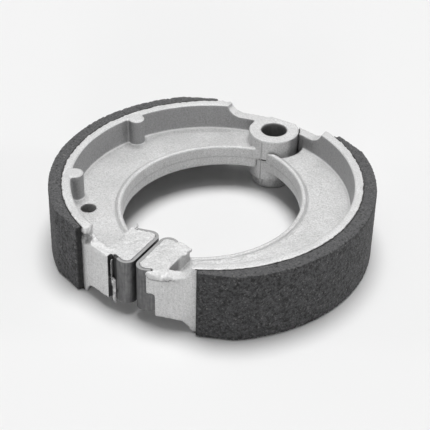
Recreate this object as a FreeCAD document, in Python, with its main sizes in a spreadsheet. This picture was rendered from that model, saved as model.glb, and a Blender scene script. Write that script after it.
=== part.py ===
import FreeCAD, Part
import math
import os

import Sketcher

# Pair of drum brake shoes closed into a ring round a 125 mm drum's axis.
# Origin: axis of the anchor pin, at the mid-plane between the two stacked eyes.
# +Z runs along the pin, +Y points away from the drum axis through the pin, and
# the cam gap lies at the far end of the ring, towards -Y.
# Every piece is drawn as the one on the left (-X). The right shoe is the same set
# of pieces turned over about the Y axis, as the real castings are.

SIZES = [
    # drum and linings, angles from the line through pin and drum axis
    ("drum_diameter", 125.0),
    ("lining_thickness", 4.1),  # at the shoe's ends
    ("lining_pivot_angle", 28.0),
    ("lining_cam_angle", 24.7),
    ("taper_span", 13.0),
    ("taper_slope", 16.0),
    # rim: its outside is struck from beyond the drum axis, so it is thin at mid-shoe
    ("rim_offset", 1.1),
    ("rim_wall", 4.4),
    ("rim_width", 28.8),
    ("rim_proud", 0.2),  # how far each rim edge stands past the lining's
    ("rim_draft", 0.5),
    ("rim_round", 0.5),
    ("rim_end_angle", 6.4),
    ("foot_radius", 1.6),
    # web and bead
    ("web_thickness", 6.8),
    ("web_depth", 13.2),  # from the rim's bore in to the bead
    ("bead_offset", 7.4),  # how far the bead's centre lies past the drum axis
    ("bead_thickness", 2.6),
    ("bead_height", 9.0),
    ("bead_draft", 0.25),
    ("bead_round", 0.7),
    ("bead_cam_angle", 63.5),
    ("bead_pivot_angle", 80.0),
    # shoulders, where the rim steps down to the width of eye and head
    ("shoulder_step", 5.0),
    ("pivot_shoulder", 15.0),
    ("pivot_scoop", 7.0),
    ("cam_shoulder", 17.0),
    ("cam_scoop", 5.2),
    # anchor eye, its axis and outside given by how far they lie inside the drum
    ("pin_inset", 12.1),
    ("eye_inset", 3.2),
    ("eye_diameter", 20.6),
    ("eye_play", 0.1),
    ("eye_relief", 0.3),
    ("web_relief", 2.3),  # wider, where the web faces the other shoe's eye
    ("web_relief_rim_angle", 10.0),
    ("web_relief_bead_angle", 50.0),
    ("eye_foot", 1.2),
    ("foot_cam_angle", 45.0),
    ("foot_pivot_angle", 20.0),
    ("seat_diameter", 16.4),
    ("pin_diameter", 10.0),
    ("pin_play", 0.4),
    ("bore_chamfer", 0.2),
    # cam head and its steel cap
    ("cam_gap", 1.0),
    ("head_inset", 3.6),
    ("head_depth", 24.5),
    ("head_length", 12.5),
    ("inner_slope", 14.0),
    ("outer_slope", 21.0),
    ("notch_length", 9.8),
    ("cap_thickness", 1.2),
    ("cap_inset", 0.3),
    ("cap_corner", 3.6),
    ("long_inner_leg", 10.6),
    ("long_outer_leg", 8.6),
    ("short_inner_leg", 6.6),
    ("short_outer_leg", 7.7),
    ("leg_round", 1.6),
    # ejector posts and spring hole, set in from the rim's bore, angles from mid-shoe
    ("post_diameter", 6.5),
    ("post_inset", 1.4),
    ("post_cam_angle", 28.4),
    ("post_pivot_angle", 23.6),
    ("spring_hole", 5.9),
    ("spring_hole_inset", 6.3),
    ("spring_hole_angle", 37.5),
]

# Sizes that follow from those above, as expressions for sketches and features.
DRUM_RADIUS = "(dim.drum_diameter / 2)"
RIM_RADIUS = "(dim.drum_diameter / 2 - dim.lining_thickness)"
RIM_BORE = "(%s - dim.rim_wall)" % RIM_RADIUS
LINING_WIDTH = "(dim.rim_width - 2 * dim.rim_proud)"
BEAD_RADIUS = "(%s - dim.web_depth)" % RIM_BORE
SHOULDER_WIDTH = "(dim.rim_width - 2 * dim.shoulder_step)"
PIVOT_DISTANCE = "(dim.drum_diameter / 2 - dim.pin_inset)"
EYE_REACH = "(dim.drum_diameter / 2 - dim.eye_inset)"
BORE_RADIUS = "(dim.pin_diameter / 2 + dim.pin_play / 2)"
HEAD_OUTER = "(dim.drum_diameter / 2 - dim.head_inset)"
HEAD_INNER = "(%s - dim.head_depth)" % HEAD_OUTER
CAP_WIDTH = "(%s - 2 * dim.cap_inset)" % SHOULDER_WIDTH

DRUM_AXIS = ("0", "-" + PIVOT_DISTANCE, "0")
ACROSS_DRUM = ("0", "0", PIVOT_DISTANCE)

doc = FreeCAD.newDocument("brake_shoe_pair")


def make_sheet():
    sheet = doc.addObject("Spreadsheet::Sheet", "dim")
    for row, (alias, number) in enumerate(SIZES, start=1):
        sheet.set("A%d" % row, alias)
        sheet.set("B%d" % row, str(number))
        sheet.setAlias("B%d" % row, alias)
    doc.recompute()
    return sheet


dim = make_sheet()


def value(text):
    result = dim.evalExpression(text)
    return float(getattr(result, "Value", result))


def make_sketch(body, name, role="XY_Plane", shift=DRUM_AXIS):
    """Sketch on one of the body's own planes, moved in it and along its normal."""
    plane = next(item for item in body.Origin.OriginFeatures if item.Role == role)
    sketch = body.newObject("Sketcher::SketchObject", name)
    sketch.AttachmentSupport = [(plane, "")]
    sketch.MapMode = "FlatFace"
    for axis, text in zip("xyz", shift):
        sketch.setExpression("AttachmentOffset.Base." + axis, text)
    return sketch


def tie(sketch, kind, *where, to):
    """Dimension in a sketch, bound to an expression of the sheet's sizes."""
    index = sketch.addConstraint(Sketcher.Constraint(kind, *where, value(to)))
    sketch.setExpression("Constraints[%d]" % index, to)


def draw_circle(sketch, across, up, radius):
    centre = FreeCAD.Vector(value(across), value(up), 0)
    circle = sketch.addGeometry(Part.Circle(centre, FreeCAD.Vector(0, 0, 1), value(radius)))
    tie(sketch, "DistanceX", -1, 1, circle, 3, to=across)
    tie(sketch, "DistanceY", -1, 1, circle, 3, to=up)
    tie(sketch, "Radius", circle, to=radius)


def arc_between(start, end, radius):
    """Short arc from start to end, clockwise if its radius is negative."""
    chord = end - start
    left = FreeCAD.Vector(-chord.y, chord.x, 0).normalize()
    rise = abs(radius) - math.sqrt(max(radius**2 - chord.Length**2 / 4, 0))
    return Part.Arc(start, (start + end) / 2 - left * math.copysign(rise, radius), end)


def draw_loop(sketch, corners):
    """Closed outline. A corner is (across, up), with the radius of the arc that leaves
    it as a third item where the side isn't straight. All are expressions."""
    points = [FreeCAD.Vector(value(corner[0]), value(corner[1]), 0) for corner in corners]
    sides = []
    for index, corner in enumerate(corners):
        start, end = points[index], points[(index + 1) % len(points)]
        if len(corner) == 3:
            radius = value(corner[2])
            side = sketch.addGeometry(arc_between(start, end, radius))
            first = 1 if radius > 0 else 2
            tie(sketch, "Radius", side, to="abs(%s)" % corner[2])
        else:
            side = sketch.addGeometry(Part.LineSegment(start, end))
            first = 1
        tie(sketch, "DistanceX", -1, 1, side, first, to=corner[0])
        tie(sketch, "DistanceY", -1, 1, side, first, to=corner[1])
        sides.append((side, first))
    for (side, first), (after, after_first) in zip(sides, sides[1:] + sides[:1]):
        sketch.addConstraint(Sketcher.Constraint("Coincident", side, 3 - first, after, after_first))


def add_feature(body, kind, name, sketch, **settings):
    feature = body.newObject("PartDesign::" + kind, name)
    feature.Profile = sketch
    for key, setting in settings.items():
        if isinstance(setting, str) and "dim." in setting:
            feature.setExpression(key, setting)
        else:
            setattr(feature, key, setting)
    sketch.Visibility = False
    doc.recompute()
    return feature


def revolve(body, name, sketch, to_cam, to_pivot):
    """Turns a section about its sketch's upright axis, towards the cam and the pin."""
    axis = (sketch, ["V_Axis"])
    return add_feature(body, "Revolution", name, sketch, ReferenceAxis=axis, Type="TwoAngles",
                       Angle=to_cam, Angle2=to_pivot)


def cut_through(body, name, sketch):
    return add_feature(body, "Pocket", name, sketch, SideType="Symmetric",
                       Length="4 * dim.rim_width")


def upright_edges(feature, across, up):
    """Names of the edges along Z that stand at a place given from the drum axis."""
    x = value(across)
    y = value(up) - value(PIVOT_DISTANCE)
    names = []
    for number, edge in enumerate(feature.Shape.Edges, start=1):
        ends = [vertex.Point for vertex in edge.Vertexes]
        if len(ends) == 2 and all(math.hypot(end.x - x, end.y - y) < 0.01 for end in ends):
            names.append("Edge%d" % number)
    return names


def dress(body, kind, name, base, edges, size_name, size_text):
    feature = body.newObject("PartDesign::" + kind, name)
    feature.Base = (base, edges)
    feature.setExpression(size_name, size_text)
    doc.recompute()
    return feature


# Steel cap on the cam head, drawn from the drum axis. The face along the gap runs
# between two corners, and a leg slopes back from each of them.
FACE = "-dim.cam_gap / 2"
INNER_CORNER = (FACE, "-" + HEAD_INNER)
OUTER_CORNER = (FACE, "-" + HEAD_OUTER)
CORE_FACE = "-dim.cam_gap / 2 - dim.cap_thickness"
CORE_INNER = (
    CORE_FACE,
    "-%s - dim.cap_thickness * (tan(dim.inner_slope) + 1 / cos(dim.inner_slope))" % HEAD_INNER,
)
CORE_OUTER = (
    CORE_FACE,
    "-%s + dim.cap_thickness * (tan(dim.outer_slope) + 1 / cos(dim.outer_slope))" % HEAD_OUTER,
)


def leg_end(leg, slope, corner, inward):
    """Outside and inside end of a leg that reaches a length back from the gap."""
    outside_x = "-dim.cam_gap / 2 - %s" % leg
    outside_y = "%s - %d * %s * tan(%s)" % (corner, inward, leg, slope)
    inside_x = "%s + dim.cap_thickness * sin(%s)" % (outside_x, slope)
    inside_y = "%s - %d * dim.cap_thickness * cos(%s)" % (outside_y, inward, slope)
    return (outside_x, outside_y), (inside_x, inside_y)


def cap_inside(half):
    """The line that the cap's inner face follows, with the leg ends, from bore to rim.
    The cap's upper half has the long legs and its lower half the short ones."""
    inner_leg, outer_leg = "dim.%s_inner_leg" % half, "dim.%s_outer_leg" % half
    inner_out, inner_in = leg_end(inner_leg, "dim.inner_slope", "-" + HEAD_INNER, 1)
    outer_out, outer_in = leg_end(outer_leg, "dim.outer_slope", "-" + HEAD_OUTER, -1)
    return [inner_out, inner_in, CORE_INNER, CORE_OUTER, outer_in, outer_out]


def draw_rim_circle(sketch):
    draw_circle(sketch, "dim.rim_offset", "0", RIM_RADIUS)


def make_rim_and_web(body):
    top = "dim.rim_width / 2"
    foot = "(%s - dim.rim_draft)" % RIM_BORE
    web = "dim.web_thickness / 2"
    web_edge = "-(%s - 2 * dim.bead_offset)" % BEAD_RADIUS
    section = make_sketch(body, "rim_section", "XZ_Plane", ACROSS_DRUM)
    draw_loop(section, [
        ("-" + DRUM_RADIUS, "-" + top),
        ("-" + DRUM_RADIUS, top),
        ("-(%s + dim.rim_round)" % RIM_BORE, top, "-dim.rim_round"),
        ("-" + RIM_BORE, top + " - dim.rim_round"),
        ("-" + foot, web + " + dim.foot_radius", "dim.foot_radius"),
        ("-(%s - dim.foot_radius)" % foot, web),
        (web_edge, web),
        (web_edge, "-" + web),
        ("-(%s - dim.foot_radius)" % foot, "-" + web, "dim.foot_radius"),
        ("-" + foot, "-(%s + dim.foot_radius)" % web),
        ("-" + RIM_BORE, "-(%s - dim.rim_round)" % top, "-dim.rim_round"),
        ("-(%s + dim.rim_round)" % RIM_BORE, "-" + top),
    ])
    revolve(body, "rim_and_web", section, "90 - dim.rim_end_angle", "90 - dim.rim_end_angle")
    outside = make_sketch(body, "rim_outside_outline")
    draw_rim_circle(outside)
    draw_circle(outside, "dim.rim_offset", "0", "dim.drum_diameter")
    cut_through(body, "rim_outside", outside)
    opening = make_sketch(body, "hub_outline")
    draw_circle(opening, "dim.bead_offset", "0", BEAD_RADIUS + " + dim.bead_thickness / 2")
    cut_through(body, "hub_opening", opening)


def make_bead(body):
    outer = "(%s + dim.bead_thickness)" % BEAD_RADIUS
    side = "dim.bead_height / 2 - dim.bead_round"
    top = "dim.bead_height / 2"
    outer_top = outer + " - dim.bead_draft"
    inner_top = BEAD_RADIUS + " + dim.bead_draft"
    section = make_sketch(body, "bead_section", "XZ_Plane",
                          ("dim.bead_offset", "0", PIVOT_DISTANCE))
    draw_loop(section, [
        ("-" + outer, "0"),
        ("-(%s)" % outer_top, side, "-dim.bead_round"),
        ("-(%s - dim.bead_round)" % outer_top, top),
        ("-(%s + dim.bead_round)" % inner_top, top, "-dim.bead_round"),
        ("-(%s)" % inner_top, side),
        ("-" + BEAD_RADIUS, "0"),
        ("-(%s)" % inner_top, "-(%s)" % side, "-dim.bead_round"),
        ("-(%s + dim.bead_round)" % inner_top, "-" + top),
        ("-(%s - dim.bead_round)" % outer_top, "-" + top, "-dim.bead_round"),
        ("-(%s)" % outer_top, "-(%s)" % side),
    ])
    revolve(body, "bead", section, "dim.bead_cam_angle + 0", "dim.bead_pivot_angle + 0")


def scoop_outline(reach, scoop, side):
    """Outline above (side "") or below ("-") a shoulder, with a hollow step at its end."""
    start = "-%s * sin(%s)" % (RIM_RADIUS, reach)
    level = SHOULDER_WIDTH + " / 2"
    turn = "-" + scoop if side == "" else scoop
    return [
        ("0", side + level),
        (start, side + level, turn),
        ("%s - %s" % (start, scoop), "%s(%s + %s)" % (side, level, scoop)),
        ("%s - %s" % (start, scoop), "%s2 * dim.rim_width" % side),
        ("0", "%s2 * dim.rim_width" % side),
    ]


def cut_shoulders(body):
    ends = (("cam", "dim.cam_shoulder", "dim.cam_scoop", True),
            ("pivot", "dim.pivot_shoulder", "dim.pivot_scoop", False))
    for name, reach, scoop, towards_cam in ends:
        outline = make_sketch(body, name + "_scoops", "XZ_Plane", ACROSS_DRUM)
        draw_loop(outline, scoop_outline(reach, scoop, ""))
        draw_loop(outline, scoop_outline(reach, scoop, "-"))
        add_feature(body, "Pocket", name + "_shoulders", outline, Type="ThroughAll",
                    Reversed=towards_cam)


def make_head(body):
    rear = "-dim.head_length"
    slope_run = "(dim.head_length - dim.cam_gap / 2)"
    outline = make_sketch(body, "head_outline")
    draw_loop(outline, [
        INNER_CORNER,
        (rear, "-%s - %s * tan(dim.inner_slope)" % (HEAD_INNER, slope_run)),
        (rear, "-%s + %s * tan(dim.outer_slope)" % (HEAD_OUTER, slope_run)),
        OUTER_CORNER,
    ])
    add_feature(body, "Pad", "head", outline, SideType="Symmetric", Length=SHOULDER_WIDTH)
    notch = make_sketch(body, "notch_outline")
    notch_run = "(dim.notch_length - dim.cam_gap / 2)"
    draw_loop(notch, [
        OUTER_CORNER,
        ("-dim.notch_length", "-%s + %s * tan(dim.outer_slope)" % (HEAD_OUTER, notch_run)),
        ("-dim.notch_length", "-" + DRUM_RADIUS),
        (FACE, "-" + DRUM_RADIUS),
    ])
    add_feature(body, "Pocket", "leg_notch", notch, Reversed=True, Length="dim.rim_width + 0")


def cut_cap_seat(body):
    """Seat of the cap: its legs are long on the eye's half of the width, short on the other."""
    for half, upper in (("long", True), ("short", False)):
        outline = make_sketch(body, half + "_seat_outline")
        draw_loop(outline, cap_inside(half) + [
            ("dim.cap_thickness", "-" + DRUM_RADIUS),
            ("dim.cap_thickness", "-%s + dim.cap_thickness" % HEAD_INNER),
        ])
        seat = add_feature(body, "Pocket", half + "_seat", outline, Reversed=upper,
                           Length="dim.rim_width + 0")
    edges = upright_edges(seat, *CORE_INNER) + upright_edges(seat, *CORE_OUTER)
    return dress(body, "Fillet", "head_corners", seat, edges, "Radius",
                 "dim.cap_corner - dim.cap_thickness")


def make_eye(body, seated):
    """Half-height eye for the anchor pin. A seated one reaches down to the rim's edge."""
    above = ("0", "0", "dim.eye_play")
    cut_eye_relief(body, above)
    boss = make_sketch(body, "eye_outline", shift=above)
    draw_circle(boss, "0", "0", "dim.eye_diameter / 2")
    add_feature(body, "Pad", "eye", boss, Length=SHOULDER_WIDTH + " / 2 - dim.eye_play")
    turned = make_sketch(body, "turned_outline")
    draw_circle(turned, "0", "0", EYE_REACH)
    draw_circle(turned, "0", "0", EYE_REACH + " + dim.eye_diameter")
    cut_through(body, "turned_outside", turned)
    make_eye_foot(body)
    end = SHOULDER_WIDTH + " / 2"
    if seated:
        end = "dim.rim_width / 2"
        seat = make_sketch(body, "seat_outline", shift=above)
        draw_circle(seat, "0", "0", "dim.seat_diameter / 2")
        add_feature(body, "Pad", "seat", seat, Length=end + " - dim.eye_play")
    bore = make_sketch(body, "bore_outline", shift=("0", "0", "0"))
    draw_circle(bore, "0", "0", BORE_RADIUS)
    bored = cut_through(body, "bore", bore)
    mouth = eye_circle_edges(bored, BORE_RADIUS, end)
    return dress(body, "Chamfer", "bore_mouth", bored, mouth, "Size", "dim.bore_chamfer + 0")


def cut_eye_relief(body, above):
    """Room under the mid-plane for the other shoe's eye: a close fit round it, at rim and
    bead, and a wider one where the web faces it."""
    relief = make_sketch(body, "relief_outline", shift=above)
    draw_circle(relief, "0", "0", "dim.eye_diameter / 2 + dim.eye_relief")
    add_feature(body, "Pocket", "eye_relief_cut", relief, Type="ThroughAll")
    reach = "(dim.eye_diameter / 2 + dim.web_relief)"
    at_rim = ("-%s * cos(dim.web_relief_rim_angle)" % reach,
              "%s * sin(dim.web_relief_rim_angle)" % reach, reach)
    at_bead = ("-%s * cos(dim.web_relief_bead_angle)" % reach,
               "-%s * sin(dim.web_relief_bead_angle)" % reach)
    wider = make_sketch(body, "web_relief_outline", shift=above)
    draw_loop(wider, [at_rim, at_bead, ("0", "0")])
    add_feature(body, "Pocket", "web_relief_cut", wider, Type="ThroughAll")


def make_eye_foot(body):
    """Hollow fillet where the eye stands on the web, from the bead round to the rim."""
    web = "dim.web_thickness / 2"
    foot = make_sketch(body, "eye_foot_section", "XZ_Plane", ("0", "0", "0"))
    draw_loop(foot, [
        ("-dim.eye_diameter / 2 + dim.eye_foot", web),
        ("-dim.eye_diameter / 2 - dim.eye_foot", web, "dim.eye_foot"),
        ("-dim.eye_diameter / 2", web + " + dim.eye_foot"),
        ("-dim.eye_diameter / 2 + dim.eye_foot", web + " + dim.eye_foot"),
    ])
    revolve(body, "eye_foot_fillet", foot, "dim.foot_cam_angle + 0", "dim.foot_pivot_angle + 0")


def eye_circle_edges(feature, radius, level):
    """Edges of a radius round the pin's axis, at a level above the mid-plane."""
    names = []
    for number, edge in enumerate(feature.Shape.Edges, start=1):
        curve = edge.Curve
        if isinstance(curve, Part.Circle) and abs(curve.Radius - value(radius)) < 0.01:
            if abs(curve.Center.z - value(level)) < 0.01 and math.hypot(*curve.Center[:2]) < 0.01:
                names.append("Edge%d" % number)
    return names


def make_posts_and_hole(body):
    posts = make_sketch(body, "post_outlines")
    distance = "(%s - dim.post_inset)" % RIM_BORE
    for side, angle in (("", "dim.post_pivot_angle"), ("-", "dim.post_cam_angle")):
        draw_circle(posts, "-%s * cos(%s)" % (distance, angle),
                    "%s%s * sin(%s)" % (side, distance, angle), "dim.post_diameter / 2")
    add_feature(body, "Pad", "ejector_posts", posts, Length="dim.rim_width / 2")
    hole = make_sketch(body, "spring_hole_outline")
    distance = "(%s - dim.spring_hole_inset)" % RIM_BORE
    draw_circle(hole, "-%s * cos(dim.spring_hole_angle)" % distance,
                "-%s * sin(dim.spring_hole_angle)" % distance, "dim.spring_hole / 2")
    cut_through(body, "spring_hole_cut", hole)


def new_piece(label, turned_over):
    body = doc.addObject("PartDesign::Body", label)
    body.Label = label
    turn = FreeCAD.Rotation(FreeCAD.Vector(0, 1, 0), 180 if turned_over else 0)
    body.Placement = FreeCAD.Placement(FreeCAD.Vector(0, 0, 0), turn)
    return body


def make_shoe(label, turned_over):
    """Die casting: T-section rim and web, bead, cam head, half-height eye and posts."""
    body = new_piece(label, turned_over)
    make_rim_and_web(body)
    make_bead(body)
    cut_shoulders(body)
    make_head(body)
    cut_cap_seat(body)
    make_posts_and_hole(body)
    make_eye(body, seated=turned_over)
    return body


def taper_corners(end_angle, side):
    """Region to cut off where the outside runs down to a lining end. Its long edge
    leaves the drum circle at a slope and goes on past the end."""
    start = "(%s + dim.taper_span)" % end_angle
    heading = "(%s - dim.taper_slope)" % start
    from_x = "-%s * sin(%s)" % (DRUM_RADIUS, start)
    from_y = "%s * cos(%s)" % (DRUM_RADIUS, start)
    to_x = "%s + dim.drum_diameter / 3 * cos(%s)" % (from_x, heading)
    to_y = "%s + dim.drum_diameter / 3 * sin(%s)" % (from_y, heading)
    return [(from_x, side + "(%s)" % from_y), (to_x, side + "(%s)" % to_y),
            (to_x, side + "dim.drum_diameter"), (from_x, side + "dim.drum_diameter")]


def make_lining(label, turned_over):
    """Friction lining: its outside is ground round the drum axis, its inside fits the rim."""
    body = new_piece(label, turned_over)
    section = make_sketch(body, "lining_section", "XZ_Plane", ACROSS_DRUM)
    draw_loop(section, [
        ("-" + DRUM_RADIUS, "-%s / 2" % LINING_WIDTH),
        ("-" + DRUM_RADIUS, LINING_WIDTH + " / 2"),
        ("-" + RIM_BORE, LINING_WIDTH + " / 2"),
        ("-" + RIM_BORE, "-%s / 2" % LINING_WIDTH),
    ])
    revolve(body, "lining_arc", section, "90 - dim.lining_cam_angle", "90 - dim.lining_pivot_angle")
    seat = make_sketch(body, "rim_seat_outline")
    draw_rim_circle(seat)
    cut_through(body, "rim_seat", seat)
    tapers = make_sketch(body, "taper_outlines")
    draw_loop(tapers, taper_corners("dim.lining_cam_angle", "-"))
    draw_loop(tapers, taper_corners("dim.lining_pivot_angle", ""))
    cut_through(body, "end_tapers", tapers)
    return body


def leg_corner_edges(feature):
    """Short level edges across the strip, at the four free ends of the legs."""
    thickness = value("dim.cap_thickness")
    edge_level = value(CAP_WIDTH) / 2
    behind = value("-dim.cam_gap / 2 - dim.cap_corner")
    names = []
    for number, edge in enumerate(feature.Shape.Edges, start=1):
        middle = edge.CenterOfMass
        level = abs(abs(middle.z) - edge_level) < 0.01
        if level and abs(edge.Length - thickness) < 0.01 and middle.x < behind:
            names.append("Edge%d" % number)
    return names


def make_cap(label, turned_over):
    """Pressed steel strip folded round the cam head, with one long and one short half."""
    body = new_piece(label, turned_over)
    for half, below in (("long", False), ("short", True)):
        outline = make_sketch(body, half + "_strip_outline")
        draw_loop(outline, cap_inside(half) + [OUTER_CORNER, INNER_CORNER])
        strip = add_feature(body, "Pad", half + "_strip", outline, Length=CAP_WIDTH + " / 2",
                            Reversed=below)
    edges = upright_edges(strip, *INNER_CORNER) + upright_edges(strip, *OUTER_CORNER)
    bends = dress(body, "Fillet", "outside_bends", strip, edges, "Radius", "dim.cap_corner + 0")
    edges = upright_edges(bends, *CORE_INNER) + upright_edges(bends, *CORE_OUTER)
    bends = dress(body, "Fillet", "inside_bends", bends, edges, "Radius",
                  "dim.cap_corner - dim.cap_thickness")
    dress(body, "Fillet", "leg_corners", bends, leg_corner_edges(bends), "Radius",
          "dim.leg_round + 0")
    return body


def check(pieces):
    doc.recompute()
    for item in doc.Objects:
        if "Invalid" in item.State or "Error" in item.State:
            raise RuntimeError("%s failed: %s" % (item.Name, item.State))
    for piece in pieces:
        if piece.Shape.isNull() or not piece.Shape.isValid() or len(piece.Shape.Solids) != 1:
            raise RuntimeError("%s isn't one valid solid" % piece.Label)
        box = piece.Shape.BoundBox
        print("%-16s %8.0f mm3  x %6.2f..%6.2f  y %7.2f..%6.2f  z %6.2f..%6.2f" % (
            piece.Label, piece.Shape.Volume, box.XMin, box.XMax, box.YMin, box.YMax,
            box.ZMin, box.ZMax))


def main():
    pieces = []
    for side, turned_over in (("left", False), ("right", True)):
        pieces.append(make_shoe(side + "_shoe", turned_over))
        pieces.append(make_lining(side + "_lining", turned_over))
        pieces.append(make_cap(side + "_cam_cap", turned_over))
    check(pieces)
    os.makedirs("parts", exist_ok=True)
    for piece in pieces:
        piece.Shape.exportStep("parts/%s.step" % piece.Label)


main()
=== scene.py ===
import math
import random

import bmesh
import bpy
import numpy as np
from mathutils import Matrix, Vector


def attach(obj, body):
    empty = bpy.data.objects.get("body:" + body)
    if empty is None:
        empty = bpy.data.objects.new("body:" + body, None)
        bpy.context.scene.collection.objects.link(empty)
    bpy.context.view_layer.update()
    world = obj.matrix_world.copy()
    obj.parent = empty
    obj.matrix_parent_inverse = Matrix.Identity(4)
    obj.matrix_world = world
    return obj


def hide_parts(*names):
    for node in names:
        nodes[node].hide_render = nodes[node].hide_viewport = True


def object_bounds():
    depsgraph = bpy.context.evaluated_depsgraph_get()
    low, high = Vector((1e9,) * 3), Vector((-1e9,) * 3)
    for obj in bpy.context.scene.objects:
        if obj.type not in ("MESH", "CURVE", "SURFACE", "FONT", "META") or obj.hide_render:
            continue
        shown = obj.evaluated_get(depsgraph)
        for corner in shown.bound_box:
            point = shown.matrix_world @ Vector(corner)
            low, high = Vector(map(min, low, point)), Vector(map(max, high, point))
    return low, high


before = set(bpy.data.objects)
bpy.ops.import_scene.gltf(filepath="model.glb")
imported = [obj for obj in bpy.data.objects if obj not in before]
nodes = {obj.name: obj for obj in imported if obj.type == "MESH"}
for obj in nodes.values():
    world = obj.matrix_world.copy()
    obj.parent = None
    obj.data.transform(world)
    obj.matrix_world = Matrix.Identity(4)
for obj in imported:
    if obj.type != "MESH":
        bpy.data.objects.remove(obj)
cad_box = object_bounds()

MM = 0.001
FLOOR_LEVEL = -14.4
DRUM_AXIS_Y = -50.4
RIM_RADIUS = 58.4
RIM_OFFSET = 1.1
RIM_TOP = 14.4
LINING_TOP = 14.2
GLUE_LEVEL = LINING_TOP - 0.1
LINING_CAM_ANGLE = 24.7
LINING_PIVOT_ANGLE = 28.0
EYE_RADIUS = 10.3
SEAT_RADIUS = 8.2
# The cam heads lie beyond this y, and their flat faces between these levels, up and down.
HEAD_START_Y = -86
HEAD_LEVELS = (9.0, 9.9)
# Sizes of the skins' grid. The shoes' keeps them just under the export's 200,000 triangles.
SHOE_VOXEL = 0.47
LINING_VOXEL = 0.5

NOISE, RANGE, MATH = "ShaderNodeTexNoise", "ShaderNodeMapRange", "ShaderNodeMath"
MIX, VECTOR, AXES = "ShaderNodeMix", "ShaderNodeVectorMath", "ShaderNodeSeparateXYZ"


# Nodes and materials

def add(tree, kind, sockets=None, output=0, **settings):
    """Adds a node of that kind, sets its properties, and links or fills its input sockets.
    Returns one of its output sockets."""
    made = tree.nodes.new(kind)
    for name, setting in settings.items():
        setattr(made, name, setting)
    for key, value in (sockets or {}).items():
        if isinstance(value, bpy.types.NodeSocket):
            tree.links.new(value, made.inputs[key])
        else:
            made.inputs[key].default_value = value
    return made.outputs[output] if made.outputs else None


def linear(hex_colour):
    """An sRGB hex colour as the linear RGBA that a shader takes."""
    shares = [int(hex_colour[i:i + 2], 16) / 255 for i in (0, 2, 4)]
    return [s / 12.92 if s <= 0.04045 else ((s + 0.055) / 1.055) ** 2.4 for s in shares] + [1]


def per(size_mm):
    """The scale at which a texture's features on Object coordinates are that large."""
    return 1 / (size_mm * MM)


def new_material(name, **constants):
    """A material with its shader, whose constant values go straight on its sockets."""
    material = bpy.data.materials.new(name)
    material.use_nodes = True
    tree = material.node_tree
    tree.nodes.clear()
    sockets = {key.replace("_", " "): value for key, value in constants.items()}
    surface = add(tree, "ShaderNodeBsdfPrincipled", sockets)
    add(tree, "ShaderNodeOutputMaterial", {"Surface": surface})
    place = add(tree, "ShaderNodeTexCoord", output="Object")
    return material, tree, surface.node, place


def layered(tree, start, coats):
    """Colours laid over each other: (value, from, to, share at from, share at to, hex)."""
    colour = linear(start) if isinstance(start, str) else start
    for value, low, high, at_low, at_high, over in coats:
        share = add(tree, RANGE, {0: value, 1: low, 2: high, 3: at_low, 4: at_high})
        over = linear(over) if isinstance(over, str) else over
        colour = add(tree, MIX, {0: share, 6: colour, 7: over}, 2, data_type="RGBA")
    return colour


def bumped(tree, shader, layers):
    """Stacks height patterns: (height, strength, depth in mm), the coarsest first."""
    under = None
    for height, strength, depth in layers:
        sockets = {"Height": height, "Strength": strength, "Distance": depth * MM}
        if under is not None:
            sockets["Normal"] = under
        under = add(tree, "ShaderNodeBump", sockets)
    tree.links.new(under, shader.inputs["Normal"])


def facing_up(tree):
    """1 on faces that look up or down, 0 on upright walls."""
    normal = add(tree, "ShaderNodeTexCoord", output="Normal")
    size = add(tree, MATH, {0: add(tree, AXES, {0: normal}, 2)}, operation="ABSOLUTE")
    return add(tree, RANGE, {0: size, 1: 0.45, 2: 0.85})


def from_axis(tree, place, axis_y):
    """Distance in metres from an upright axis at that y, given in mm."""
    moved = add(tree, VECTOR, {0: place, 1: (0, -axis_y * MM, 0)}, operation="ADD")
    flat = add(tree, VECTOR, {0: moved, 1: (1, 1, 0)}, operation="MULTIPLY")
    return add(tree, VECTOR, {0: flat}, "Value", operation="LENGTH")


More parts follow.
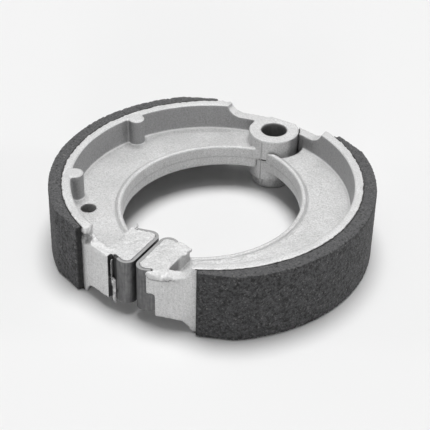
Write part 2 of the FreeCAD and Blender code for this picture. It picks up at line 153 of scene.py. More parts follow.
def cast_aluminium():
    """Aluminium alloy, pressure die-cast and blasted: pale, matt grey with a sugary, glinting
    grain on faces that look up, while upright walls stay smoother, show drag lines and are
    painted paler as painted light. Edges are rubbed bright, fillets get a painted highlight,
    and creases, corners, the rim's inner wall and the anchor bore get painted shade."""
    material, tree, shader, place = new_material("blasted_die_cast_aluminium", Metallic=0.8)
    # The blasted grain is about 0.1 mm on the real part, and is drawn at 0.6 mm so that it shows.
    grain = add(tree, NOISE, {"Vector": place, "Scale": per(0.6), "Detail": 3, "Roughness": 0.7})
    ripple = add(tree, NOISE, {"Vector": place, "Scale": per(1.9), "Detail": 3, "Roughness": 0.6})
    clouds = add(tree, NOISE, {"Vector": place, "Scale": per(13), "Detail": 3, "Roughness": 0.6})
    upright = add(tree, "ShaderNodeMapping", {"Vector": place, "Scale": (1, 1, 0.06)})
    drag = add(tree, NOISE, {"Vector": upright, "Scale": per(0.8), "Detail": 2})
    up = facing_up(tree)
    edge = add(tree, "ShaderNodeNewGeometry", output="Pointiness")
    out = from_axis(tree, place, DRUM_AXIS_Y)
    # The rim's bore is smoother than the blasted walls and painted darker: painted shade of the deep
    # channel.
    near_rim = add(tree, RANGE, {0: out, 1: 46 * MM, 2: 48 * MM})
    inside_rim = add(tree, RANGE, {0: out, 1: 57 * MM, 2: 57.4 * MM, 3: 1, 4: 0})
    shaded_rim_wall = add(tree, MATH, {0: near_rim, 1: inside_rim}, operation="MULTIPLY")
    # Nothing rubs the edges in there.
    rubbed = add(tree, MATH, {0: shaded_rim_wall, 1: -0.4, 2: edge}, operation="MULTIPLY_ADD")
    # Upright walls are painted paler than faces that look up, as painted light, and the rim's inner wall
    # band is painted darker, as painted shade.
    wall_light_and_shade = layered(tree, "C5C5C5", [(grain, 0.35, 0.65, 0, 1, "E0E0E0"),
                                    (clouds, 0.35, 0.65, 0.3, 0, "B3B3B3"),
                                    (drag, 0.35, 0.7, 0.15, 0, "9B9B9B"),
                                    (shaded_rim_wall, 0, 1, 0, 0.7, "7F7F80")])
    top = layered(tree, "B4B4B4", [(grain, 0.35, 0.65, 0, 1, "CECECE"),
                                   (clouds, 0.35, 0.65, 0.4, 0, "A8A8A8")])
    skin = add(tree, MIX, {0: up, 6: wall_light_and_shade, 7: top}, 2, data_type="RGBA")
    # Fillets and rounded edges, which look halfway up, get a painted highlight.
    not_up = add(tree, MATH, {0: 1.0, 1: up}, operation="SUBTRACT")
    fillet_highlight = add(tree, MATH, {0: up, 1: not_up}, operation="MULTIPLY")
    # The parting line wanders along the middle of all that faces the hub.
    level = add(tree, MATH, {0: add(tree, AXES, {0: place}, 2)}, operation="ABSOLUTE")
    wander = add(tree, RANGE, {0: ripple, 1: 0.3, 2: 0.7, 3: 0, 4: 0.4 * MM})
    off_line = add(tree, MATH, {0: level, 1: wander}, operation="SUBTRACT")
    off_line = add(tree, MATH, {0: off_line}, operation="ABSOLUTE")
    past_bead = add(tree, RANGE, {0: out, 1: 41 * MM, 2: 42 * MM, 3: 0, 4: 1 * MM})
    off_line = add(tree, MATH, {0: off_line, 1: past_bead}, operation="ADD")
    # The anchor bore is painted darker: painted shade in the hole.
    bore = from_axis(tree, place, 0)
    # Painted shade in corners: darker where other surfaces lie within 2.5 mm.
    corner_shade = add(tree, "ShaderNodeAmbientOcclusion", {"Distance": 2.5 * MM}, "AO", samples=8)
    # Painted shade written on the mesh: the slot, the line under the right lip, and the dents.
    painted_shade = add(tree, "ShaderNodeAttribute", output="Fac", attribute_name="painted_shade")
    fresh = add(tree, "ShaderNodeAttribute", output="Fac", attribute_name="torn")
    fresh = add(tree, MATH, {0: fresh, 1: grain}, operation="MULTIPLY")
    # Low pointiness marks creases, which are painted darker as painted shade; high pointiness marks the
    # rubbed edges.
    colour = layered(tree, skin, [(grain, 0.26, 0.36, 0.5, 0, "717171"),
                                  (off_line, 0.06 * MM, 0.2 * MM, 0.3, 0, "6A6A6A"),
                                  (edge, 0.4, 0.49, 0.6, 0, "6A6A6A"),
                                  (rubbed, 0.52, 0.6, 0, 0.8, "D2D2D2"),
                                  (fillet_highlight, 0.03, 0.2, 0, 0.7, "D7D7D7"),
                                  (fresh, 0.15, 0.45, 0, 0.75, "CACACA"),
                                  (corner_shade, 0.2, 0.55, 0.7, 0, "2E2E2F"),
                                  (painted_shade, 0, 1, 0, 0.93, "1D1D1E"),
                                  (bore, 5.3 * MM, 5.6 * MM, 0.4, 0, "4A4A4A")])
    tree.links.new(colour, shader.inputs["Base Color"])
    rough = add(tree, RANGE, {0: grain, 1: 0.3, 2: 0.7, 3: 0.7, 4: 0.45})
    tree.links.new(rough, shader.inputs["Roughness"])
    share = add(tree, RANGE, {0: up, 3: 0.7, 4: 1})
    sugar = add(tree, MATH, {0: grain, 1: share}, operation="MULTIPLY")
    bumped(tree, shader, [(ripple, 0.6, 0.3), (drag, 0.15, 0.04), (sugar, 1.0, 0.36)])
    return material


def friction_material():
    """Phenolic friction compound, hot-moulded, with its outside ground to the drum's size:
    charcoal and dry, with pale mineral and brass specks, black pits and upright grind marks.
    Its top and bottom are the moulded skin, paler with dust, and its cam ends are painted
    near black as painted shade."""
    material, tree, shader, place = new_material("ground_friction_compound", IOR=1.5)
    grain = add(tree, NOISE, {"Vector": place, "Scale": per(0.75), "Detail": 4, "Roughness": 0.72})
    crumbs = add(tree, NOISE, {"Vector": place, "Scale": per(1.4), "Detail": 3, "Roughness": 0.6,
                               "Distortion": 0.6})
    mottle = add(tree, NOISE, {"Vector": place, "Scale": per(5), "Detail": 3, "Roughness": 0.6})
    upright = add(tree, "ShaderNodeMapping", {"Vector": place, "Scale": (1, 1, 0.09)})
    marks = add(tree, NOISE, {"Vector": upright, "Scale": per(0.9), "Detail": 3, "Roughness": 0.6})
    flecks = add(tree, "ShaderNodeTexVoronoi", {"Vector": place, "Scale": per(1.6)}).node
    up = facing_up(tree)
    x, y = add(tree, AXES, {0: place}).node.outputs[:2]
    # Marks of the grinding wheel show most on the shoe towards -x.
    side = add(tree, RANGE, {0: x, 1: -5 * MM, 2: 5 * MM, 3: 1, 4: 0.35})
    streaks = add(tree, RANGE, {0: marks, 1: 0.35, 2: 0.65})
    streaks = add(tree, MATH, {0: streaks, 1: side}, operation="MULTIPLY")
    ground = layered(tree, "363637", [(mottle, 0.35, 0.65, 0, 1, "424243"),
                                      (streaks, 0, 1, 0, 0.65, "505053")])
    skin = layered(tree, "4B4B4C", [(crumbs, 0.3, 0.7, 0, 1, "606061")])
    base = add(tree, MIX, {0: up, 6: ground, 7: skin}, 2, data_type="RGBA")
    # The faces at the cam ends lie at a fixed slope from the drum's axis, and are painted near black as
    # painted shade.
    depth = add(tree, MATH, {0: DRUM_AXIS_Y * MM, 1: y}, operation="SUBTRACT")
    depth = add(tree, MATH, {0: depth, 1: 1 * MM}, operation="MAXIMUM")
    aside = add(tree, MATH, {0: x}, operation="ABSOLUTE")
    cam_end_shade_slope = add(tree, MATH, {0: aside, 1: depth}, operation="DIVIDE")
    end = math.tan(math.radians(LINING_CAM_ANGLE))
    # The moulded skin has no pulled-out crumbs, only its grain.
    pulled = add(tree, MATH, {0: up, 1: 0.5, 2: crumbs}, operation="MULTIPLY_ADD")
    colour = layered(tree, base, [(crumbs, 0.52, 0.66, 0, 0.55, "545455"),
                                  (pulled, 0.38, 0.5, 0.97, 0, "121212"),
                                  (grain, 0.36, 0.46, 0.8, 0, "161616"),
                                  (grain, 0.58, 0.68, 0, 0.85, "81817F"),
                                  (cam_end_shade_slope, end, end + 0.018, 0.85, 0, "101010")])
    fleck = add(tree, RANGE, {0: flecks.outputs["Distance"], 1: 0.1, 2: 0.17, 3: 1, 4: 0})
    pick = add(tree, AXES, {0: flecks.outputs["Color"]})
    rare = add(tree, RANGE, {0: pick, 1: 0.9, 2: 0.92})
    spot = add(tree, MATH, {0: fleck, 1: rare}, operation="MULTIPLY")
    colour = layered(tree, colour, [(spot, 0, 1, 0, 0.7, "8E8C84")])
    tree.links.new(colour, shader.inputs["Base Color"])
    rough = add(tree, RANGE, {0: grain, 1: 0.3, 2: 0.7, 3: 0.95, 4: 0.7})
    tree.links.new(rough, shader.inputs["Roughness"])
    bumped(tree, shader, [(crumbs, 0.8, 0.45), (marks, 0.25, 0.15), (grain, 0.9, 0.3)])
    return material


def strip_steel():
    """Cold-rolled steel strip, blanked and folded: mid grey with a dull sheen, rolling lines
    up and down, and burnished, paler edges where it was sheared."""
    material, tree, shader, place = new_material("folded_steel_strip", Metallic=0.85)
    smear = add(tree, NOISE, {"Vector": place, "Scale": per(1.6), "Detail": 3, "Roughness": 0.6})
    along = add(tree, "ShaderNodeMapping", {"Vector": place, "Scale": (1, 1, 0.05)})
    rolled = add(tree, NOISE, {"Vector": along, "Scale": per(0.6), "Detail": 3, "Roughness": 0.6})
    # Painted shade where the casting lies within 0.5 mm of the strip.
    crevice_shade = add(tree, "ShaderNodeAmbientOcclusion", {"Distance": 0.5 * MM}, "AO", samples=8)
    flat = layered(tree, "646465", [(smear, 0.3, 0.7, 0, 1, "848484"),
                                    (rolled, 0.35, 0.65, 0.55, 0, "4B4B4C")])
    # The left cap's leg is darker where it runs up to the casting's foot, beyond x = -6.4 mm.
    x, y = add(tree, AXES, {0: place}).node.outputs[:2]
    outer = add(tree, RANGE, {0: y, 1: -103 * MM, 2: -102 * MM, 3: 1, 4: 0})
    leg = add(tree, MATH, {0: x, 1: outer}, operation="MULTIPLY")
    skin = add(tree, MIX, {0: facing_up(tree), 6: flat, 7: linear("909090")}, 2, data_type="RGBA")
    colour = layered(tree, skin, [(crevice_shade, 0.45, 0.9, 0.9, 0, "161617"),
                                  (leg, -6.8 * MM, -6.4 * MM, 0.85, 0, "242425")])
    tree.links.new(colour, shader.inputs["Base Color"])
    rough = add(tree, RANGE, {0: smear, 1: 0.3, 2: 0.7, 3: 0.4, 4: 0.58})
    tree.links.new(rough, shader.inputs["Roughness"])
    bumped(tree, shader, [(smear, 0.4, 0.1), (rolled, 0.3, 0.04)])
    return material


def cured_adhesive():
    """Phenolic bonding adhesive, baked and squeezed out between rim and lining: brown-black,
    lumpy, with a weak gloss on its beads."""
    material, tree, shader, place = new_material("baked_bonding_adhesive", IOR=1.5)
    lumps = add(tree, NOISE, {"Vector": place, "Scale": per(0.5), "Detail": 3, "Roughness": 0.6})
    colour = layered(tree, "141312", [(lumps, 0.35, 0.7, 0, 1, "2F2C29")])
    tree.links.new(colour, shader.inputs["Base Color"])
    rough = add(tree, RANGE, {0: lumps, 1: 0.3, 2: 0.7, 3: 0.45, 4: 0.75})
    tree.links.new(rough, shader.inputs["Roughness"])
    bumped(tree, shader, [(lumps, 0.6, 0.1)])
    return material


def dress(obj, material):
    obj.data.materials.clear()
    obj.data.materials.append(material)


# Geometry Nodes trees

def geometry_tree(name, floats):
    """An empty tree with a geometry input, a material input and these named numbers."""
    tree = bpy.data.node_groups.new(name, "GeometryNodeTree")
    tree.interface.new_socket("Geometry", in_out="INPUT", socket_type="NodeSocketGeometry")
    tree.interface.new_socket("Geometry", in_out="OUTPUT", socket_type="NodeSocketGeometry")
    for label in floats:
        tree.interface.new_socket(label, in_out="INPUT", socket_type="NodeSocketFloat")
    tree.interface.new_socket("Material", in_out="INPUT", socket_type="NodeSocketMaterial")
    return tree, tree.nodes.new("NodeGroupInput").outputs


def lumpy(tree, size, depth, seed, detail=2.0):
    """A height in metres, both ways from zero, whose features are that large."""
    scale = add(tree, MATH, {0: 1.0, 1: size}, operation="DIVIDE")
    fac = add(tree, NOISE, {"W": seed, "Scale": scale, "Detail": detail}, noise_dimensions="4D")
    centred = add(tree, MATH, {0: fac, 1: 2.0, 2: -1.0}, operation="MULTIPLY_ADD")
    return add(tree, MATH, {0: centred, 1: depth}, operation="MULTIPLY")


def end_tree(tree, geometry, height, material):
    """Raises the surface along its normals, keeps it inside the object's size, and ends the
    tree as the export needs it: real geometry with its material."""
    normal = add(tree, "GeometryNodeInputNormal")
    shift = add(tree, VECTOR, {0: normal, "Scale": height}, operation="SCALE")
    place = add(tree, VECTOR, {0: add(tree, "GeometryNodeInputPosition"), 1: shift}, operation="ADD")
    low, high = (tuple(corner) for corner in cad_box)
    place = add(tree, VECTOR, {0: place, 1: low}, operation="MAXIMUM")
    place = add(tree, VECTOR, {0: place, 1: high}, operation="MINIMUM")
    moved = add(tree, "GeometryNodeSetPosition", {"Geometry": geometry, "Position": place})
    real = add(tree, "GeometryNodeRealizeInstances", {0: moved})
    done = add(tree, "GeometryNodeSetMaterial", {"Geometry": real, "Material": material})
    add(tree, "NodeGroupOutput", {0: done})


def lining_tree():
    """Ground friction block: crumbly all over, and chipped along the arrises."""
    tree, given = geometry_tree("crumbly_lining", (
        "Crumb Size", "Crumb Depth", "Chip Size", "Chip Depth", "Chip Band", "Half Width", "Seed"))
    crumbs = lumpy(tree, given["Crumb Size"], given["Crumb Depth"], given["Seed"], 3.0)
    other = add(tree, MATH, {0: given["Seed"], 1: 7.0}, operation="ADD")
    chips = lumpy(tree, given["Chip Size"], given["Chip Depth"], other)
    level = add(tree, AXES, {0: add(tree, "GeometryNodeInputPosition")}, 2)
    level = add(tree, MATH, {0: level}, operation="ABSOLUTE")
    inward = add(tree, MATH, {0: given["Half Width"], 1: level}, operation="SUBTRACT")
    share = add(tree, MATH, {0: inward, 1: given["Chip Band"]}, operation="DIVIDE")
    near = add(tree, RANGE, {0: share, 1: 0, 2: 1, 3: 1, 4: 0})
    chipped = add(tree, MATH, {0: chips, 1: near}, operation="MULTIPLY")
    chipped = add(tree, MATH, {0: chipped, 1: 0.0}, operation="MINIMUM")
    height = add(tree, MATH, {0: crumbs, 1: chipped}, operation="ADD")
    end_tree(tree, given["Geometry"], height, given["Material"])
    return tree


def casting_tree():
    """Die casting: faint waves all over, and torn skin where the attribute 'torn' says so."""
    tree, given = geometry_tree("cast_skin", ("Wave Size", "Wave Depth", "Torn Size", "Torn Depth", "Seed"))
    waves = lumpy(tree, given["Wave Size"], given["Wave Depth"], given["Seed"])
    other = add(tree, MATH, {0: given["Seed"], 1: 3.0}, operation="ADD")
    tears = lumpy(tree, given["Torn Size"], given["Torn Depth"], other, 3.0)
    torn = add(tree, "GeometryNodeInputNamedAttribute", {"Name": "torn"}, data_type="FLOAT")
    tears = add(tree, MATH, {0: tears, 1: torn}, operation="MULTIPLY")
    height = add(tree, MATH, {0: waves, 1: tears}, operation="ADD")
    end_tree(tree, given["Geometry"], height, given["Material"])
    return tree


def bead_tree():
    """A ragged bead of squeezed-out adhesive along a line."""
    tree, given = geometry_tree("squeezed_bead", ("Bead Radius", "Lump Size", "Lump Depth", "Seed"))
    line = add(tree, "GeometryNodeMeshToCurve", {0: given["Geometry"]})
    ring = add(tree, "GeometryNodeCurvePrimitiveCircle",
               {"Resolution": 6, "Radius": given["Bead Radius"]})
    tube = add(tree, "GeometryNodeCurveToMesh", {0: line, 1: ring, "Fill Caps": True})
    lumps = lumpy(tree, given["Lump Size"], given["Lump Depth"], given["Seed"], 3.0)
    end_tree(tree, tube, lumps, given["Material"])
    return tree


# Pieces

def as_object(name, mesh):
    obj = bpy.data.objects.new(name, mesh)
    bpy.context.scene.collection.objects.link(obj)
    return obj


def settled(obj, name):
    """The object with its modifiers worked out, as a plain mesh object of that name."""
    bpy.context.view_layer.update()
    graph = bpy.context.evaluated_depsgraph_get()
    mesh = bpy.data.meshes.new_from_object(obj.evaluated_get(graph))
    bpy.data.objects.remove(obj)
    return as_object(name, mesh)


def run_tree(obj, tree, settings, name):
    """The object put through a Geometry Nodes tree with these inputs, as a smooth plain mesh."""
    modifier = obj.modifiers.new("shape", "NODES")
    modifier.node_group = tree
    for item in tree.interface.items_tree:
        if item.in_out == "INPUT" and item.name in settings:
            modifier[item.identifier] = settings[item.name]
    piece = settled(obj, name)
    piece.data.shade_smooth()
    return piece


def hand_over(piece, node=None):
    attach(piece, "root")
    if node:
        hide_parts(node)


def merged_copy(node):
    """The CAD solid as one closed mesh, ready to be given a finer skin."""
    shell = bmesh.new()
    shell.from_mesh(nodes[node].data)
    bmesh.ops.remove_doubles(shell, verts=shell.verts, dist=0.001 * MM)
    mesh = bpy.data.meshes.new(node + "_work")
    shell.to_mesh(mesh)
    shell.free()
    return as_object(node + "_work", mesh)


def refined(work, voxel_mm, name):
    """The work with one closed, even skin of fine faces, whose steps are smoothed."""
    skin = work.modifiers.new("skin", "REMESH")
    skin.mode = "VOXEL"
    skin.voxel_size = voxel_mm * MM
    smooth = work.modifiers.new("smooth", "SMOOTH")
    smooth.iterations = 2
    smooth.factor = 0.5
    return settled(work, name)


def make_lining(side, tree, material, seed):
    settings = {"Crumb Size": 1.2 * MM, "Crumb Depth": 0.16 * MM, "Chip Size": 1.5 * MM,
                "Chip Depth": 1.1 * MM, "Chip Band": 1.0 * MM, "Half Width": LINING_TOP * MM,
                "Seed": seed, "Material": material}
    work = refined(merged_copy(side + "_lining"), LINING_VOXEL, side + "_lining_fine")
    hand_over(run_tree(work, tree, settings, side + "_lining_ground"), side + "_lining")


def add_lumps(work, lumps, seed):
    """Adds rounded, uneven lumps of metal that the finer skin joins to the casting. Each is
    (x, y, z, half length, half breadth, half height) in mm."""
    draw = random.Random(seed)
    shell = bmesh.new()
    shell.from_mesh(work.data)
    for x, y, z, *sizes in lumps:
        place = Matrix.Translation(Vector((x, y, z)) * MM) @ Matrix.Diagonal([s * MM for s in sizes] + [1])
        ball = bmesh.ops.create_icosphere(shell, subdivisions=2, radius=1, matrix=place)["verts"]
        centre = Vector((x, y, z)) * MM
        for vert in ball:
            vert.co = centre + (vert.co - centre) * draw.uniform(0.8, 1.2)
    shell.to_mesh(work.data)
    shell.free()


def cut_away(work, corners, low, high):
    """Cuts an upright prism out of the work. Corners are (x, y) and levels z, in mm."""
    verts = [(x * MM, y * MM, z * MM) for z in (low, high) for x, y in corners]
    count = len(corners)
    faces = [tuple(range(count))[::-1], tuple(range(count, 2 * count))]
    faces += [(i, (i + 1) % count, count + (i + 1) % count, count + i) for i in range(count)]
    mesh = bpy.data.meshes.new("cutter")
    mesh.from_pydata(verts, [], faces)
    shell = bmesh.new()
    shell.from_mesh(mesh)
    bmesh.ops.recalc_face_normals(shell, faces=shell.faces)
    shell.to_mesh(mesh)
    shell.free()
    cutter = as_object("cutter", mesh)
    cut = work.modifiers.new("cut", "BOOLEAN")
    cut.operation = "DIFFERENCE"
    cut.object = cutter
    done = settled(work, work.name)
    bpy.data.objects.remove(cutter)
    return done


def points_of(mesh):
    """The mesh's points in mm, one row each."""
    points = np.empty(len(mesh.vertices) * 3)
    mesh.vertices.foreach_get("co", points)
    return points.reshape(-1, 3) / MM


def write_marks(mesh, name, values):
    marks = mesh.attributes.new(name, "FLOAT", "POINT")
    marks.data.foreach_set("value", values.astype(np.float32))


def closeness(points, spot, radius):
    """1 at the spot and 0 from that radius outwards, for each point."""
    away = np.linalg.norm(points - spot, axis=1) / radius
    return np.clip(1 - away ** 2, 0, 1)


def between(values, low, high):
    return (values > low) & (values < high)


def mark_torn(mesh, spots):
    """Writes how torn the skin is at each point: round these (x, y, z, radius, share) spots,
    along the rim's outer edges, and a little on the top and bottom of head and shoulders."""
    rim_share, head_share, band = 0.8, 0.35, 0.9
    points = points_of(mesh)
    torn = np.zeros(len(points))
    for x, y, z, radius, share in spots:
        torn = np.maximum(torn, share * closeness(points, (x, y, z), radius) ** 0.5)
    side = np.sign(points[:, 0])
    from_centre = np.hypot(points[:, 0] + side * RIM_OFFSET, points[:, 1] - DRUM_AXIS_Y)
    level = np.abs(points[:, 2])
    on_edge = (from_centre > RIM_RADIUS - band) & (level > RIM_TOP - band)
    torn = np.maximum(torn, rim_share * on_edge)
    on_head = (points[:, 1] < HEAD_START_Y) & between(level, *HEAD_LEVELS)
    torn = np.maximum(torn, head_share * on_head)
    write_marks(mesh, "torn", torn)


def mark_painted_shade(mesh, dents):
    """Writes how much painted shade each point gets: in the slot beside the left shoe's broken foot,
    in a line under the right foot's lip as its painted shadow, and in the dents."""
    below_lip, line_height = 0.75, 0.45
    lip_share, share_per_depth = 0.7, 0.32
    points = points_of(mesh)
    x, y, z = points.T
    under = np.interp(x, *zip(*RIGHT_LIP)) - below_lip - z
    lip = between(x, 6, 17.6) & (y < -103) & between(under, 0, line_height)
    slot = between(x, -9.95, -7) & (y < -105.6)
    bare = (x > -8.9) & (y < -106.6)
    painted_shade = np.maximum(slot & ~bare, lip_share * lip)
    for dent_x, dent_y, dent_z, radius, depth in dents:
        near = closeness(points, (dent_x, dent_y + 1, dent_z), radius)
        painted_shade = np.maximum(painted_shade, share_per_depth * depth * near)
    write_marks(mesh, "painted_shade", painted_shade)


def wear_corners(mesh, corners):
    """Rounds off the metal round each (x, y, z, radius) in mm."""
    rounds = 25
    shell = bmesh.new()
    shell.from_mesh(mesh)
    for x, y, z, radius in corners:
        centre = Vector((x, y, z)) * MM
        near = [v for v in shell.verts if (v.co - centre).length < radius * MM]
        for _ in range(rounds):
            bmesh.ops.smooth_vert(shell, verts=near, factor=0.5, use_axis_x=True, use_axis_y=True,
                                  use_axis_z=True)
    shell.to_mesh(mesh)
    shell.free()


def cut_rings(points, rings):
    """Cuts a shallow ring round each (x, y, z, radius, depth), in a face that looks up or down."""
    half_width = 0.6
    for x, y, z, radius, depth in rings:
        off = np.abs(np.hypot(points[:, 0] - x, points[:, 1] - y) - radius) / half_width
        near = np.abs(points[:, 2] - z) < 1
        points[:, 2] -= math.copysign(depth, z) * np.clip(1 - off, 0, 1) * near


def press_in(points, dents):
    """Presses the skin in round each (x, y, z, radius, depth), towards the drum's axis."""
    for x, y, z, radius, depth in dents:
        inward = np.array((-x, DRUM_AXIS_Y - y, 0))
        inward /= np.linalg.norm(inward)
        points += np.outer(depth * closeness(points, (x, y, z), radius), inward)


def reshape(mesh, dents, rings):
    """Presses the dents and rings into the skin."""
    points = points_of(mesh)
    cut_rings(points, rings)
    press_in(points, dents)
    mesh.vertices.foreach_set("co", points.ravel() * MM)


def scattered(start, end, count, size, seed):
    """Uneven lumps strung along a line, in mm."""
    draw = random.Random(seed)
    made = []
    for i in range(count):
        spot = Vector(start).lerp(Vector(end), i / (count - 1))
        spot += Vector([draw.uniform(-0.25, 0.25) for _ in range(3)])
        made.append((*spot, *[size * draw.uniform(0.6, 1.4) for _ in range(3)]))
    return made


# The lip's course on the right foot, as (x, z).
RIGHT_LIP = [(5.9, 9.6), (6.7, 8.6), (8.2, 7.7), (10.0, 7.6),
             (11.9, 7.9), (13.6, 8.1), (15.4, 8.7), (17.8, 10.1)]
# Room beside the short leg of the left cap, below mid-plane, where the foot broke away.
BROKEN_FOOT = [(-9.8, -105.73), (-6.6, -106.96), (-6.6, -113), (-9.8, -113)]

# What casting and trimming left on each shoe. Lumps are (x, y, z, half length, half breadth,
# half height), torn spots (x, y, z, radius, share), worn corners (x, y, z, radius), and dents
# and rings (x, y, z, radius, depth).
# Left: the knob where the rim ends, crumbs along the foot, the spike behind the head and the
# stub of flash beside the cap's leg, with a hollow under the knob. The rings lie round the
# ejector posts' tops, and the smallest is the ejector pin's mark on the head.
LEFT_MARKS = {
    "lumps": [
        (-23.4, -101.0, 12.4, 2.5, 2.3, 2.2), (-22.2, -101.6, 12.6, 1.8, 1.7, 1.8),
        (-24.4, -100.4, 12.6, 1.8, 1.8, 1.9), (-19.3, -103.4, 8.8, 1.3, 1.2, 1.0),
        (-15.5, -104.2, 8.3, 1.3, 1.0, 0.7), (-12.6, -105.6, 8.6, 1.4, 0.9, 0.7),
        (-10.8, -86.7, 9.5, 0.5, 0.5, 1.3), (-11.9, -88.7, 9.1, 0.9, 0.9, 0.5),
        *scattered((-8.3, -106.5, -1.6), (-8.1, -106.6, -11.0), 11, 0.65, 5),
        *scattered((-7.6, -106.9, -2.6), (-7.5, -106.9, -10.6), 8, 0.5, 6),
    ],
    "torn": [
        (-21.5, -101.5, 11.5, 5.5, 1.0), (-17.0, -103.6, 9.0, 5.5, 1.0),
        (-12.0, -105.3, 8.6, 4.5, 0.8), (-11.0, -87.0, 9.4, 3.0, 0.7),
    ],
    "worn": [(-20.8, -102.3, 13.0, 1.6)],
    "dents": [
        (-23.2, -104.4, 9.6, 2.6, 2.0), (-21.2, -104.6, 10.4, 2.4, 1.8),
        (-24.9, -103.6, 10.2, 1.7, 1.0),
    ],
    "rings": [
        (-48.2, -29.34, RIM_TOP, 3.7, 0.35), (-46.27, -75.42, RIM_TOP, 3.7, 0.35),
        (-9.2, -95, 9.4, 3, 0.35),
    ],
}
# Right: crumbs behind the head, the torn lip along the foot with a faint dent below it, and
# the same rings on the underside, because the casting lies turned over.
RIGHT_MARKS = {
    "lumps": [
        (10.6, -87.4, 9.0, 1.0, 1.0, 0.8), (12.6, -88.8, 8.8, 1.2, 1.0, 0.9),
        (9.0, -87.0, 9.1, 0.8, 0.8, 0.5), (12.9, -91.2, 9.0, 0.8, 1.2, 0.5),
        *scattered((7.0, -107.9, 8.4), (11.4, -107.3, 8.0), 6, 1.0, 7),
        *scattered((11.4, -107.3, 8.0), (17.0, -105.5, 9.2), 8, 1.0, 8),
    ],
    "torn": [
        (8.5, -107.5, 8.0, 3.5, 0.9), (12.5, -106.5, 8.0, 4.0, 1.0),
        (16.5, -105.0, 9.5, 4.5, 1.0), (11.5, -88.5, 9.0, 4.5, 0.9),
    ],
    "worn": [(10.8, -87.6, 9.0, 1.8), (13.2, -89.5, 9.0, 1.5)],
    "dents": [(14.5, -106.6, 5.9, 3.0, 0.25)],
    "rings": [(-x, y, -z, radius, depth) for x, y, z, radius, depth in LEFT_MARKS["rings"]],
}


def make_shoe(side, tree, material, seed, marks):
    settings = {"Wave Size": 4 * MM, "Wave Depth": 0.1 * MM, "Torn Size": 1.5 * MM,
                "Torn Depth": 0.9 * MM, "Seed": seed, "Material": material}
    work = merged_copy(side + "_shoe")
    if side == "left":
        work = cut_away(work, BROKEN_FOOT, -15, 0)
    add_lumps(work, marks["lumps"], int(seed))
    work = refined(work, SHOE_VOXEL, side + "_shoe_fine")
    wear_corners(work.data, marks["worn"])
    reshape(work.data, marks["dents"], marks["rings"])
    mark_torn(work.data, marks["torn"])
    mark_painted_shade(work.data, marks["dents"])
    hand_over(run_tree(work, tree, settings, side + "_shoe_cast"), side + "_shoe")


def make_glue_line(side, edge, level, tree, material, seed):
    """A bead along the joint between rim and lining, from the cam end round to the pin's end."""
    sign, count = (-1 if side == "left" else 1), 220
    radius, short_of_end = RIM_RADIUS + 0.1, 0.4
    start = LINING_CAM_ANGLE + short_of_end
    end = 180 - LINING_PIVOT_ANGLE - short_of_end
    points = []
    for i in range(count + 1):
        angle = math.radians(start + (end - start) * i / count)
        x = sign * (radius * math.sin(angle) - RIM_OFFSET)
        y = DRUM_AXIS_Y - radius * math.cos(angle)
        points.append(Vector((x, y, level)) * MM)
    name = "%s_glue_%s" % (side, edge)
    mesh = bpy.data.meshes.new(name + "_line")
    mesh.from_pydata(points, [(i, i + 1) for i in range(count)], [])
    settings = {"Bead Radius": 0.16 * MM, "Lump Size": 1.5 * MM, "Lump Depth": 0.3 * MM,
                "Seed": seed, "Material": material}
    hand_over(run_tree(as_object(name + "_line", mesh), tree, settings, name))


def make_fin(name, roots, outward, heights, thickness, material):
    """A thin, ragged fin of casting flash on a line of roots, from which it stands outward. Its
    foot is sunk in the casting and its tip is thinner."""
    sunk = 0.3
    along = (Vector(roots[-1]) - Vector(roots[0])).normalized()
    out = Vector(outward).normalized()
    across = along.cross(out).normalized()
    verts, faces = [], []
    for root, height in zip(roots, heights):
        base, tip = Vector(root) - out * sunk, Vector(root) + out * height
        half, thin = across * thickness / 2, across * thickness / 5
        verts += [corner * MM for corner in (base - half, base + half, tip + thin, tip - thin)]
    for i in range(len(roots) - 1):
        a, b = 4 * i, 4 * (i + 1)
        faces += [(a + k, a + (k + 1) % 4, b + (k + 1) % 4, b + k) for k in range(4)]
    last = 4 * (len(roots) - 1)
    faces += [(3, 2, 1, 0), (last, last + 1, last + 2, last + 3)]
    shell = bmesh.new()
    corners = [shell.verts.new(v) for v in verts]
    for face in faces:
        shell.faces.new([corners[i] for i in face])
    bmesh.ops.recalc_face_normals(shell, faces=shell.faces)
    mesh = bpy.data.meshes.new(name)
    shell.to_mesh(mesh)
    shell.free()
    piece = as_object(name, mesh)
    dress(piece, material)
    hand_over(piece)


def make_seams(material):
    """Fins where the die halves met, down the front of both eyes and the pin seat, and the
    flash that stands beside the left cap's leg."""
    draw = random.Random(41)
    step = 0.4
    for name, radius, low, high in (("left_eye_seam", EYE_RADIUS, 0.3, 9.2),
                                    ("right_eye_seam", EYE_RADIUS, -9.2, -0.3),
                                    ("right_seat_seam", SEAT_RADIUS, -14.2, -9.5)):
        count = int((high - low) / step)
        roots = [(-0.25, -radius, low + (high - low) * i / count) for i in range(count + 1)]
        heights = [draw.uniform(0.25, 0.5) for _ in roots]
        make_fin(name, roots, (0, -1, 0), heights, 0.45, material)
    roots = [(-8.9, -106.1, 7.6 - step * i) for i in range(24)]
    heights = [draw.uniform(1.0, 1.25) for _ in roots]
    make_fin("left_foot_flash", roots, (0, -1, 0), heights, 0.28, material)


# Stage

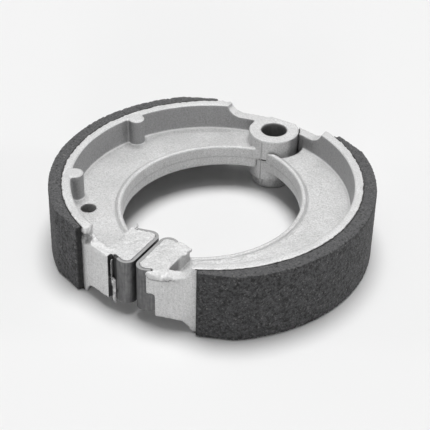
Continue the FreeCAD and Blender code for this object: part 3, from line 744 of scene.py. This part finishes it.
def make_camera():
    """The photograph's view, fitted to its outlines: the camera stands turned round the drum's
    axis, looks down at it and has a slight roll."""
    azimuth, elevation, roll = (math.radians(a) for a in (29.2, 35.21, 1.433))
    distance, aside, beyond = 521.4, 1.2, 15.6
    lens_per_frame = 3.001  # focal length as a share of the frame's width
    forward = Vector((0, math.cos(elevation), -math.sin(elevation)))
    right = Vector((1, 0, 0))
    up = right.cross(forward)
    place = -forward * distance + Vector((aside, beyond, 0))
    turned_right = math.cos(roll) * right + math.sin(roll) * up
    turned_up = -math.sin(roll) * right + math.cos(roll) * up
    axes = Matrix((turned_right, turned_up, -forward)).transposed().to_4x4()
    about_drum = Matrix.Rotation(azimuth, 4, "Z")
    to_part = Matrix.Translation(Vector((0, DRUM_AXIS_Y, FLOOR_LEVEL)) * MM)
    data = bpy.data.cameras.new("photograph_camera")
    data.sensor_width = 36
    data.lens = 36 * lens_per_frame
    camera = as_object("photograph_camera", data)
    camera.matrix_world = to_part @ about_drum @ Matrix.Translation(place * MM) @ axes
    bpy.context.scene.camera = camera


def make_sun(name, azimuth, elevation, strength, softness):
    """A lamp so large and far that it lights the floor evenly. Its azimuth runs anticlockwise
    from +Y, behind the object."""
    data = bpy.data.lights.new(name, "SUN")
    data.energy = strength
    data.angle = math.radians(softness)
    lamp = as_object(name, data)
    side, rise = math.radians(azimuth), math.radians(elevation)
    towards = Vector((-math.sin(side) * math.cos(rise), math.cos(side) * math.cos(rise), math.sin(rise)))
    lamp.rotation_euler = towards.to_track_quat("Z", "Y").to_euler()


def make_studio():
    """A pale floor, a soft key from above, a soft top light, three weak low lamps, and a world
    that shows pale to the eye and in reflections but lights the object only a little."""
    half = 6  # metres
    below_part = 0.02
    mesh = bpy.data.meshes.new("studio_floor")
    level = (FLOOR_LEVEL - below_part) * MM
    corners = [(-half, -half, level), (half, -half, level), (half, half, level), (-half, half, level)]
    mesh.from_pydata(corners, [], [(0, 1, 2, 3)])
    floor = as_object("studio_floor", mesh)
    # Seamless background paper, matt and nearly white.
    paper = new_material("pale_paper", Base_Color=linear("F2F2F2"), Roughness=0.9)[0]
    dress(floor, paper)
    make_sun("soft_key", 26, 80, 2.48, 30)
    make_sun("soft_top", 29, 89, 0.27, 60)
    make_sun("weak_front", 209, 8, 0.5, 12)
    make_sun("weak_left", 119, 8, 0.34, 12)
    make_sun("weak_right", 299, 8, 0.56, 12)
    world = bpy.data.worlds.new("studio_world")
    world.use_nodes = True
    tree = world.node_tree
    tree.nodes.clear()
    rays = add(tree, "ShaderNodeLightPath").node.outputs
    seen = rays["Is Camera Ray"]
    for kind in ("Is Glossy Ray", "Is Transmission Ray"):
        seen = add(tree, MATH, {0: seen, 1: rays[kind]}, operation="MAXIMUM")
    fill = add(tree, "ShaderNodeBackground", {"Color": linear("FFFFFF"), "Strength": 0.085})
    white = add(tree, "ShaderNodeBackground", {"Color": linear("F5F5F5"), "Strength": 1.0})
    mix = add(tree, "ShaderNodeMixShader", {0: seen, 1: fill, 2: white})
    add(tree, "ShaderNodeOutputWorld", {"Surface": mix})
    bpy.context.scene.world = world
    bpy.context.scene.view_settings.view_transform = "Standard"


def main():
    aluminium, friction = cast_aluminium(), friction_material()
    steel, adhesive = strip_steel(), cured_adhesive()
    skin, crumbly, squeezed = casting_tree(), lining_tree(), bead_tree()
    for side, seed, marks in (("left", 11.0, LEFT_MARKS), ("right", 23.0, RIGHT_MARKS)):
        make_shoe(side, skin, aluminium, seed, marks)
        make_lining(side, crumbly, friction, seed)
        dress(nodes[side + "_cam_cap"], steel)
        for edge, level in (("upper", GLUE_LEVEL), ("lower", -GLUE_LEVEL)):
            make_glue_line(side, edge, level, squeezed, adhesive, seed + level)
    make_seams(aluminium)
    make_camera()
    make_studio()


main()
